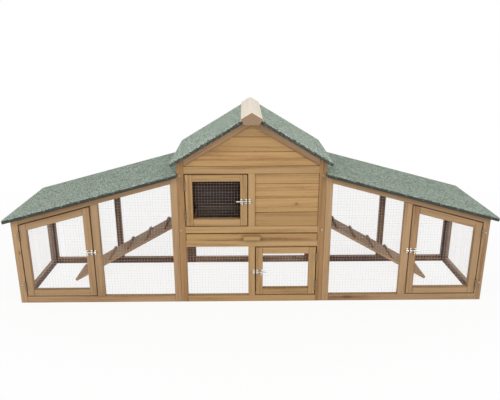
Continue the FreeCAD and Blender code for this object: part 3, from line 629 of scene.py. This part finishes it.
class CoopTimber(bpy.types.PropertyGroup):
    """Stains and edges of the timber"""

    board_stain: bpy.props.FloatVectorProperty(
        name="Board stain", description="Colour of the wall boards, gable boards and tray front",
        default=tint(173, 137, 88), subtype="COLOR", min=0.0, max=1.0)
    house_stain: bpy.props.FloatVectorProperty(
        name="House stain", description="Colour of the front rails, house doors, tray pan and handle",
        default=tint(176, 141, 95), subtype="COLOR", min=0.0, max=1.0)
    post_stain: bpy.props.FloatVectorProperty(
        name="Post stain", description="Colour of the front posts of the house",
        default=tint(158, 121, 77), subtype="COLOR", min=0.0, max=1.0)
    run_stain: bpy.props.FloatVectorProperty(
        name="Run stain", description="Colour of the run frames and doors, gable trims and house rear frame",
        default=tint(168, 136, 99), subtype="COLOR", min=0.0, max=1.0)
    # A darker copy of the stain, as painted shade on the roof boards and tray runners
    painted_shade_stain: bpy.props.FloatVectorProperty(
        name="Inner stain", description="Colour of the roof boards and the tray runners",
        default=tint(118, 88, 64), subtype="COLOR", min=0.0, max=1.0)
    ramp_stain: bpy.props.FloatVectorProperty(
        name="Ramp stain", description="Colour of the ramps",
        default=tint(194, 157, 117), subtype="COLOR", min=0.0, max=1.0)
    ridge_colour: bpy.props.FloatVectorProperty(
        name="Ridge", description="Colour of the ridge beam",
        default=tint(248, 235, 215), subtype="COLOR", min=0.0, max=1.0)
    ridge_end_colour: bpy.props.FloatVectorProperty(
        name="Ridge ends", description="Colour of the sawn ends of the ridge beam",
        default=tint(146, 119, 93), subtype="COLOR", min=0.0, max=1.0)
    frame_edge: bpy.props.FloatProperty(
        name="Frame edges", description="Rounding of the frame timbers",
        default=1.2 * MM, min=0.1 * MM, max=4 * MM, unit="LENGTH")
    board_edge: bpy.props.FloatProperty(
        name="Board edges", description="Rounding of the boards",
        default=1.5 * MM, min=0.1 * MM, max=4 * MM, unit="LENGTH")
    handle_edge: bpy.props.FloatProperty(
        name="Handle edges", description="Rounding of the tray handle",
        default=3.0 * MM, min=0.1 * MM, max=6 * MM, unit="LENGTH")


class CoopRoof(bpy.types.PropertyGroup):
    """Felt of the roofs"""

    light_granules: bpy.props.FloatVectorProperty(
        name="Light granules", description="Lightest granules of the felt",
        default=tint(208, 223, 206), subtype="COLOR", min=0.0, max=1.0)
    dark_granules: bpy.props.FloatVectorProperty(
        name="Dark granules", description="Darkest granules of the felt",
        default=tint(58, 76, 64), subtype="COLOR", min=0.0, max=1.0)
    house_tone: bpy.props.FloatProperty(
        name="House tone", description="How much lighter the felt of the house is",
        default=0.05, min=-0.5, max=0.5)
    run_tone: bpy.props.FloatProperty(
        name="Run tone", description="How much lighter the felt of the runs is",
        default=-0.035, min=-0.5, max=0.5)
    # The hem colour is painted shade on the turned-down edges of the felt
    hem_shade_colour: bpy.props.FloatVectorProperty(
        name="Hem", description="Colour of the turned-down edges of the felt",
        default=tint(52, 53, 47), subtype="COLOR", min=0.0, max=1.0)


class CoopHardware(bpy.types.PropertyGroup):
    """Nets, hinges, bolts, screws and nails"""

    net_pitch: bpy.props.FloatProperty(
        name="Net pitch", description="Distance between the wires of the nets",
        default=12.7 * MM, min=5 * MM, max=60 * MM, unit="LENGTH")
    wire_radius: bpy.props.FloatProperty(
        name="Wire radius", description="Radius of the wires of the nets",
        default=0.23 * MM, min=0.2 * MM, max=2 * MM, unit="LENGTH")
    wire_colour: bpy.props.FloatVectorProperty(
        name="Wire", description="Colour of the galvanised wire",
        default=tint(228, 221, 218), subtype="COLOR", min=0.0, max=1.0)
    screw_colour: bpy.props.FloatVectorProperty(
        name="Screws", description="Colour of the frame screws",
        default=tint(186, 182, 177), subtype="COLOR", min=0.0, max=1.0)
    nail_spacing: bpy.props.FloatProperty(
        name="Nail spacing", description="Distance between the nails along the felt's edges",
        default=77 * MM, min=20 * MM, max=300 * MM, unit="LENGTH")
    nail_colour: bpy.props.FloatVectorProperty(
        name="Nails", description="Colour of the felt nails",
        default=tint(138, 140, 136), subtype="COLOR", min=0.0, max=1.0)
    hinge_colour: bpy.props.FloatVectorProperty(
        name="Hinges", description="Colour of the dull steel of the hinges",
        default=tint(140, 122, 104), subtype="COLOR", min=0.0, max=1.0)
    zinc_colour: bpy.props.FloatVectorProperty(
        name="Zinc", description="Colour of the bolts, their plates and keepers",
        default=tint(240, 235, 228), subtype="COLOR", min=0.0, max=1.0)


class CoopStage(bpy.types.PropertyGroup):
    """Camera and light"""

    camera_place: bpy.props.FloatVectorProperty(
        name="Camera", description="Place of the camera",
        default=(-0.0331, -2.3763, 1.1615), subtype="TRANSLATION")
    camera_dip: bpy.props.FloatProperty(
        name="Dip", description="Angle that the camera looks down",
        default=math.radians(17.624), subtype="ANGLE")
    camera_turn: bpy.props.FloatProperty(
        name="Turn", description="Angle that the camera is turned to the right",
        default=math.radians(0.717), subtype="ANGLE")
    camera_tilt: bpy.props.FloatProperty(
        name="Tilt", description="Angle that the camera leans to the right",
        default=math.radians(0.095), subtype="ANGLE")
    lens: bpy.props.FloatProperty(
        name="Lens", description="Focal length in millimetres on a 36 mm sensor",
        default=38.48, min=10, max=200)
    sky: bpy.props.FloatProperty(
        name="Sky", description="Strength of the even light", default=0.6, min=0, max=2)
    key: bpy.props.FloatProperty(
        name="Key", description="Power of each soft lamp", default=53, min=0, max=500, subtype="POWER")


# Operators

class COOP_OT_frames(bpy.types.Operator):
    """Dress the frames, posts and rails of the house, the runs and the doors"""
    bl_idname = "coop.frames"
    bl_label = "Frames"

    def execute(self, context):
        timber = context.scene.coop_timber
        edge = timber.frame_edge
        dress_timber("house_front_posts", timber.post_stain, edge)
        dress_timber("house_front_rails", timber.house_stain, edge)
        # The gable trims get a painted shade line at their rounded edges
        dress_timber("house_gable_trims", timber.run_stain, edge, dark=2.0)
        # The inside numbers paint shade on the faces that face the middle of the coop
        dress_timber("house_rear_frame", timber.run_stain, edge, inside=2.7)
        for side in SIDES:
            dress_timber(f"{side}_run_front_frame", timber.run_stain, edge)
            dress_timber(f"{side}_run_end_frame", timber.run_stain, edge, inside=2.9)
            dress_timber(f"{side}_run_rear_frame", timber.run_stain, edge, inside=2.4)
        for door in DOORS:
            stain = timber.run_stain if "run" in door else timber.house_stain
            # Door frames get painted shade in the gaps around them
            dress_timber(f"{door}_frame", stain, edge, dark=1.8)
        return {"FINISHED"}


class COOP_OT_boards(bpy.types.Operator):
    """Dress the wall boards, gable boards and roof boards"""
    bl_idname = "coop.boards"
    bl_label = "Boards"

    def execute(self, context):
        timber = context.scene.coop_timber
        for node in ("house_front_boards", "house_gable_boards"):
            dress_timber(node, timber.board_stain, timber.board_edge, BOARD_SPREAD)
        # Inner faces of the rear and side boards get painted shade
        dress_timber("house_rear_boards", timber.board_stain, timber.board_edge, BOARD_SPREAD, inside=3.4)
        dress_timber("house_side_boards", timber.board_stain, timber.board_edge, BOARD_SPREAD, inside=2.6)
        for side in SIDES:
            dress_timber(f"{side}_house_roof_board", timber.painted_shade_stain, timber.frame_edge)
            dress_timber(f"{side}_run_roof_board", timber.painted_shade_stain, timber.frame_edge)
        return {"FINISHED"}


class COOP_OT_ridge(bpy.types.Operator):
    """Dress the ridge beam"""
    bl_idname = "coop.ridge"
    bl_label = "Ridge beam"

    def execute(self, context):
        timber = context.scene.coop_timber
        shape = merged_copy("ridge_beam")
        ease_edges(shape, timber.board_edge)
        mark_grain(shape, timber.ridge_colour, 0.0, "ridge_beam")
        surface = material("planed_beam", planed_beam, timber.ridge_colour, timber.ridge_end_colour)
        finished(shape, "ridge_beam_timber", surface, body_of("ridge_beam"), ("ridge_beam",))
        return {"FINISHED"}


class COOP_OT_tray_and_ramps(bpy.types.Operator):
    """Dress the pull-out tray and the two ramps"""
    bl_idname = "coop.tray_and_ramps"
    bl_label = "Tray and ramps"

    def execute(self, context):
        timber = context.scene.coop_timber
        dress_timber("tray_front_board", timber.board_stain, timber.frame_edge)
        dress_timber("tray_handle", timber.house_stain, timber.handle_edge)
        dress_timber("tray_pan", timber.house_stain, SHEET_EDGE)
        dress_timber("tray_runners", timber.painted_shade_stain, timber.frame_edge)
        for side in SIDES:
            dress_timber(f"{side}_ramp_plank", timber.ramp_stain, timber.frame_edge)
            dress_timber(f"{side}_ramp_cleats", timber.ramp_stain, timber.frame_edge)
        return {"FINISHED"}


class COOP_OT_felt(bpy.types.Operator):
    """Lay the granule-faced felt on the four roofs"""
    bl_idname = "coop.felt"
    bl_label = "Felt"

    def execute(self, context):
        roof = context.scene.coop_roof
        surface = material("mineral_felt", mineral_felt, roof.light_granules, roof.dark_granules,
                           roof.hem_shade_colour)
        for node in FELTS:
            shape = merged_copy(node)
            ease_edges(shape, SHEET_EDGE)
            top = roof_slope(shape)
            height = max(vert.co.dot(top) for vert in shape.verts)
            depth = height - min(vert.co.dot(top) for vert in shape.verts)
            drop = shape.verts.layers.float.new("drop")
            tone = shape.verts.layers.float.new("tone")
            for vert in shape.verts:
                vert[tone] = roof.house_tone if "house" in node else roof.run_tone
                vert[drop] = (height - vert.co.dot(top)) / depth
            fray(shape, top, height - 0.9 * depth)
            finished(shape, f"{node}_sheet", surface, body_of(node), (node,))
        return {"FINISHED"}


class COOP_OT_nets(bpy.types.Operator):
    """Weld the wire nets of the house, the runs and the doors"""
    bl_idname = "coop.nets"
    bl_label = "Nets"

    def execute(self, context):
        hardware = context.scene.coop_hardware
        surface = material("bright_wire", bright_wire, hardware.wire_colour)
        nodes = ["house_nets", "left_run_nets", "right_run_nets"] + [f"{door}_net" for door in DOORS]
        for node in nodes:
            pattern = merged_copy(node)
            shape = bmesh.new()
            for solid in islands(pattern):
                weave(shape, [vert.co.copy() for vert in solid], hardware.net_pitch, hardware.wire_radius)
            pattern.free()
            finished(shape, f"{node}_wires", surface, body_of(node), (node,), True)
        return {"FINISHED"}


class COOP_OT_hinges(bpy.types.Operator):
    """Finish the butt hinges and the ramp hinges"""
    bl_idname = "coop.hinges"
    bl_label = "Hinges"

    def execute(self, context):
        surface = material("dull_steel", zinc_plate, context.scene.coop_hardware.hinge_colour)
        for node in ["frame_hinge_leaves", "ramp_hinges"] + [f"{door}_hinge_leaves" for door in DOORS]:
            shape = merged_copy(node)
            ease_edges(shape, HINGE_EDGE, least=3 * MM)
            finished(shape, f"{node}_steel", surface, body_of(node), (node,))
        return {"FINISHED"}


class COOP_OT_bolts(bpy.types.Operator):
    """Make the barrel bolts with their lobed plates, straps, screws and keepers"""
    bl_idname = "coop.bolts"
    bl_label = "Bolts"

    def execute(self, context):
        surface = material("zinc_plate", zinc_plate, context.scene.coop_hardware.zinc_colour)
        keepers = bmesh.new()
        for door in DOORS:
            bar, knob = self.bar_and_knob(f"{door}_bolt")
            plate = bmesh.new()
            self.strapped_plate(plate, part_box(f"{door}_latch_plate"), bar, 2)
            mark_painted_shade(plate, True)
            node = f"{door}_latch_plate"
            finished(plate, f"{node}_zinc", surface, door, (node,))
            bolt = bmesh.new()
            self.turned_bolt(bolt, bar, knob)
            mark_painted_shade(bolt, False)
            node = f"{door}_bolt"
            finished(bolt, f"{node}_zinc", surface, node, (node,), True)
        pattern = merged_copy("bolt_keepers")
        for solid in islands(pattern):
            lows, highs = extent([vert.co for vert in solid])
            middle = (lows + highs) / 2
            axis = Vector((middle.x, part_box("upper_door_bolt")[0][1] + BALL_RADIUS, middle.z))
            self.strapped_plate(keepers, (lows, highs), (axis, axis), 1)
        pattern.free()
        mark_painted_shade(keepers, True)
        finished(keepers, "bolt_keepers_zinc", surface, body_of("bolt_keepers"),
                 ("bolt_keepers",))
        return {"FINISHED"}

    @staticmethod
    def bar_and_knob(node):
        """Ends of a bolt's bar and the middle of its ball."""
        low, high = (Vector(corner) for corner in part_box(node))
        y = (low.y + high.y) / 2
        z = high.z - BAR_RADIUS
        balls = [vert.co.x for vert in NODES[node].data.vertices if vert.co.z < low.z + BALL_RADIUS]
        x = (min(balls) + max(balls)) / 2
        return (Vector((low.x, y, z)), Vector((high.x, y, z))), Vector((x, y, low.z + BALL_RADIUS))

    def strapped_plate(self, shape, box, bar, straps):
        """Plate with a screwed lobe at each corner and half-round straps over the bar."""
        half_web = 5.5 * MM
        lobe = 4.6 * MM
        screw_height = 0.9 * MM
        low, high = (Vector(corner) for corner in box)
        back = high.y
        face = back - PLATE_THICKNESS
        middle = (low.z + high.z) / 2
        part = bmesh.new()
        block(part, (low.x, face, middle - half_web), (high.x, back, middle + half_web))
        columns = (low.x + lobe, high.x - lobe) if straps > 1 else ((low.x + high.x) / 2,)
        for x in columns:
            for z in (low.z + lobe, high.z - lobe):
                stud(part, (x, (face + back) / 2, z), lobe, PLATE_THICKNESS)
                bmesh.ops.create_cone(part, cap_ends=True, segments=12, radius1=2.4 * MM, radius2=1.5 * MM,
                                      depth=screw_height,
                                      matrix=facing_front((x, face - screw_height / 2, z)))
        ease_edges(part, PLATE_EDGE, least=0.6 * MM)
        append(shape, part)
        length = (high.x - low.x) / 6 if straps > 1 else high.x - low.x
        places = (low.x + length / 2, high.x - length / 2) if straps > 1 else ((low.x + high.x) / 2,)
        for x in places:
            append(shape, self.strap(Vector((x, bar[0].y, middle)), length, face))

    @staticmethod
    def strap(centre, length, face):
        """Half-round strap about a bar, with legs down to the face of its plate."""
        radius = BAR_RADIUS + 0.35 * MM
        thickness = 1.2 * MM
        shape = bmesh.new()
        turn = Matrix.Rotation(math.pi / 2, 4, "Y")
        bmesh.ops.create_cone(shape, cap_ends=False, segments=24, radius1=radius, radius2=radius,
                              depth=length, matrix=Matrix.Translation(centre) @ turn)
        everything = shape.verts[:] + shape.edges[:] + shape.faces[:]
        bmesh.ops.bisect_plane(shape, geom=everything, plane_co=centre, plane_no=(0, 1, 0), clear_outer=True)
        feet = [
            edge for edge in shape.edges
            if edge.is_boundary and all(vert.co.y > centre.y - MERGE for vert in edge.verts)
        ]
        legs = bmesh.ops.extrude_edge_only(shape, edges=feet)["geom"]
        for vert in legs:
            if isinstance(vert, bmesh.types.BMVert):
                vert.co.y = face
        bmesh.ops.remove_doubles(shape, verts=shape.verts, dist=MERGE)
        bmesh.ops.recalc_face_normals(shape, faces=shape.faces)
        bmesh.ops.solidify(shape, geom=shape.faces[:], thickness=-thickness)
        bmesh.ops.recalc_face_normals(shape, faces=shape.faces)
        return shape

    @staticmethod
    def turned_bolt(shape, bar, knob):
        """Round bar with rounded ends, and a knob on a stem."""
        rounding = 0.8 * MM
        corner = 1.0
        middle = (bar[0] + bar[1]) / 2
        turn = Matrix.Rotation(math.pi / 2, 4, "Y")
        bmesh.ops.create_cone(shape, cap_ends=True, segments=20, radius1=BAR_RADIUS, radius2=BAR_RADIUS,
                              depth=bar[1].x - bar[0].x, matrix=Matrix.Translation(middle) @ turn)
        ends = [edge for edge in shape.edges if edge.calc_face_angle() > corner]
        bmesh.ops.bevel(shape, geom=ends, offset=rounding, offset_type="OFFSET", affect="EDGES",
                        segments=2, profile=0.5, material=-1)
        height = bar[0].z - knob.z
        stem = Vector((knob.x, knob.y, knob.z + height / 2))
        bmesh.ops.create_cone(shape, cap_ends=True, segments=16, radius1=2.2 * MM, radius2=1.8 * MM,
                              depth=height, matrix=Matrix.Translation(stem))
        bmesh.ops.create_uvsphere(shape, u_segments=16, v_segments=10, radius=BALL_RADIUS,
                                  matrix=Matrix.Translation(knob))


class COOP_OT_fasteners(bpy.types.Operator):
    """Drive the frame screws and the felt nails"""
    bl_idname = "coop.fasteners"
    bl_label = "Screws and nails"

    def execute(self, context):
        hardware = context.scene.coop_hardware
        surface = material("screw_zinc", zinc_plate, hardware.screw_colour)
        screws = bmesh.new()
        pattern = merged_copy("post_screws")
        for solid in islands(pattern):
            low, high = extent([vert.co for vert in solid])
            self.screw(screws, (low.x + high.x) / 2, low.y, high.y, (low.z + high.z) / 2)
        pattern.free()
        piece = finished(screws, "post_screws_zinc", surface, body_of("post_screws"),
                         ("post_screws",), True)
        piece.data.materials.append(material("screw_recess_shade", zinc_plate, RECESS_SHADE))
        nails = bmesh.new()
        for node in FELTS:
            self.nail_hem(nails, node, hardware.nail_spacing)
        dull = material("dull_zinc", zinc_plate, hardware.nail_colour)
        finished(nails, "felt_nails", dull, body_of(FELTS[0]), (), True)
        return {"FINISHED"}

    @staticmethod
    def screw(shape, x, front, back, z):
        """Domed head with a crossed slot, on a shank."""
        radius = 4.5 * MM
        rise = 2.5 * MM
        slot_length = 4.6 * MM
        slot_width = 0.9 * MM
        slot_depth = 0.9 * MM
        proud = 0.02 * MM
        shank = 2.0 * MM
        head = bmesh.new()
        bmesh.ops.create_uvsphere(head, u_segments=24, v_segments=12, radius=radius)
        everything = head.verts[:] + head.edges[:] + head.faces[:]
        bmesh.ops.bisect_plane(head, geom=everything, plane_co=(0, 0, 0), plane_no=(0, 0, 1),
                               clear_inner=True)
        bmesh.ops.holes_fill(head, edges=[edge for edge in head.edges if edge.is_boundary])
        bmesh.ops.scale(head, verts=head.verts, vec=(1, 1, rise / radius))
        bmesh.ops.transform(head, verts=head.verts, matrix=facing_front((x, front + rise, z)))
        for size in ((slot_length, slot_width), (slot_width, slot_length)):
            slot = bmesh.new()
            wide, tall = (side / 2 for side in size)
            block(slot, (x - wide, front - proud, z - tall), (x + wide, front + slot_depth, z + tall))
            # The slot faces take the painted recess shade
            for face in slot.faces:
                face.material_index = 1
            append(head, slot)
        stud(head, (x, (front + rise + back) / 2, z), shank, back - front - rise)
        append(shape, head)

    @staticmethod
    def nail_hem(shape, node, spacing):
        """Flat-headed nails along the front and rear hems of a roof sheet."""
        bare_ends = 40 * MM
        lift = 0.4 * MM
        head = 1.2 * MM
        pattern = merged_copy(node)
        pattern.normal_update()
        for outward in (-1, 1):
            hems = [face for face in pattern.faces if face.normal.y * outward > SQUARE]
            hem = max(hems, key=lambda face: face.calc_area())
            longest = max(hem.edges, key=lambda edge: edge.calc_length())
            along = (longest.verts[1].co - longest.verts[0].co).normalized()
            middle = hem.calc_center_median()
            count = int((longest.calc_length() - bare_ends) / spacing) + 1
            for k in range(count):
                place = middle + along * ((k - (count - 1) / 2) * spacing)
                place.y += outward * lift
                turn = facing_front(place) if outward < 0 else facing_rear(place)
                bmesh.ops.create_cone(shape, cap_ends=True, segments=12, radius1=2.6 * MM, radius2=1.8 * MM,
                                      depth=head, matrix=turn)
        pattern.free()


class COOP_OT_stage(bpy.types.Operator):
    """Set the pale floor, the soft light and the camera"""
    bl_idname = "coop.stage"
    bl_label = "Stage"

    def execute(self, context):
        scene = context.scene
        stage = scene.coop_stage
        scene.view_settings.view_transform = "Standard"
        self.floor(context)
        self.light(scene, stage)
        self.camera(scene, stage)
        return {"FINISHED"}

    @staticmethod
    def seen(finish):
        """1 for what the camera sees directly, in a mirror or through glass."""
        names = ("Is Camera Ray", "Is Glossy Ray", "Is Transmission Ray")
        direct, mirrored, through = (finish.node("ShaderNodeLightPath", {}, {}, name) for name in names)
        return direct + mirrored + through

    def floor(self, context):
        """White floor that keeps a faint shadow."""
        half_width = 15
        shape = bmesh.new()
        bmesh.ops.create_grid(shape, x_segments=1, y_segments=1, size=half_width)
        mesh = bpy.data.meshes.new("floor")
        shape.to_mesh(mesh)
        shape.free()
        floor = bpy.data.objects.new("floor", mesh)
        context.scene.collection.objects.link(floor)
        finish = Finish(bpy.data.materials.new("pale_floor"))
        matt = finish.node("ShaderNodeBsdfDiffuse", {}, {"Color": (0.94, 0.94, 0.93, 1.0)})
        white = finish.node("ShaderNodeEmission", {}, {"Color": WHITE, "Strength": 1.0})
        away = finish.node("ShaderNodeVectorMath", {"operation": "LENGTH"}, {0: finish.place()}, "Value")
        share = finish.between(away, 1.0, 2.6, 0.88, 1.0)
        shader = finish.node("ShaderNodeMixShader", {}, {0: self.seen(finish) * share, 1: matt, 2: white})
        finish.node("ShaderNodeOutputMaterial", {}, {"Surface": shader})
        mesh.materials.append(finish.owner)

    def light(self, scene, stage):
        """Even sky with a white backdrop, and two large soft lamps at the front corners."""
        world = bpy.data.worlds.new("studio")
        scene.world = world
        finish = Finish(world)
        strength = self.seen(finish) * (1.0 - stage.sky) + stage.sky
        back = finish.node("ShaderNodeBackground", {}, {"Color": WHITE, "Strength": strength})
        finish.node("ShaderNodeOutputWorld", {}, {"Surface": back})
        across, ahead, height = (2.4, -2.6, 2.3)
        aim = Vector((0, 0, 0.4))
        for side in (-1, 1):
            lamp = bpy.data.lights.new("lamp", "AREA")
            lamp.size = 2.2
            lamp.energy = stage.key
            key = bpy.data.objects.new("lamp", lamp)
            key.location = (across * side, ahead, height)
            key.rotation_euler = (aim - key.location).to_track_quat("-Z", "Y").to_euler()
            scene.collection.objects.link(key)

    def camera(self, scene, stage):
        """Camera with the view of the photograph."""
        lens = bpy.data.cameras.new("camera")
        lens.sensor_fit = "HORIZONTAL"
        lens.sensor_width = 36.0
        lens.lens = stage.lens
        camera = bpy.data.objects.new("camera", lens)
        camera.location = stage.camera_place
        camera.rotation_euler = (math.pi / 2 - stage.camera_dip, stage.camera_tilt, -stage.camera_turn)
        scene.collection.objects.link(camera)
        scene.camera = camera


OPERATORS = (
    COOP_OT_frames,
    COOP_OT_boards,
    COOP_OT_ridge,
    COOP_OT_tray_and_ramps,
    COOP_OT_felt,
    COOP_OT_nets,
    COOP_OT_hinges,
    COOP_OT_bolts,
    COOP_OT_fasteners,
    COOP_OT_stage,
)
SETTINGS = {
    "coop_timber": CoopTimber,
    "coop_roof": CoopRoof,
    "coop_hardware": CoopHardware,
    "coop_stage": CoopStage,
}


class COOP_PT_panel(bpy.types.Panel):
    """Steps and settings of the coop"""
    bl_idname = "COOP_PT_panel"
    bl_label = "Coop"
    bl_space_type = "VIEW_3D"
    bl_region_type = "UI"
    bl_category = "Coop"

    def draw(self, context):
        for name, group in SETTINGS.items():
            box = self.layout.box()
            for setting in group.__annotations__:
                box.prop(getattr(context.scene, name), setting)
        for operator in OPERATORS:
            self.layout.operator(operator.bl_idname)


def register():
    for kind in (*SETTINGS.values(), *OPERATORS, COOP_PT_panel):
        bpy.utils.register_class(kind)
    for name, group in SETTINGS.items():
        setattr(bpy.types.Scene, name, bpy.props.PointerProperty(type=group))


def unregister():
    for name in SETTINGS:
        delattr(bpy.types.Scene, name)
    for kind in (COOP_PT_panel, *reversed(OPERATORS), *SETTINGS.values()):
        bpy.utils.unregister_class(kind)


def main():
    """Dress the coop step by step."""
    register()
    bpy.ops.coop.frames()
    bpy.ops.coop.boards()
    bpy.ops.coop.ridge()
    bpy.ops.coop.tray_and_ramps()
    bpy.ops.coop.felt()
    bpy.ops.coop.nets()
    bpy.ops.coop.hinges()
    bpy.ops.coop.bolts()
    bpy.ops.coop.fasteners()
    bpy.ops.coop.stage()


if __name__ == "__main__":
    main()
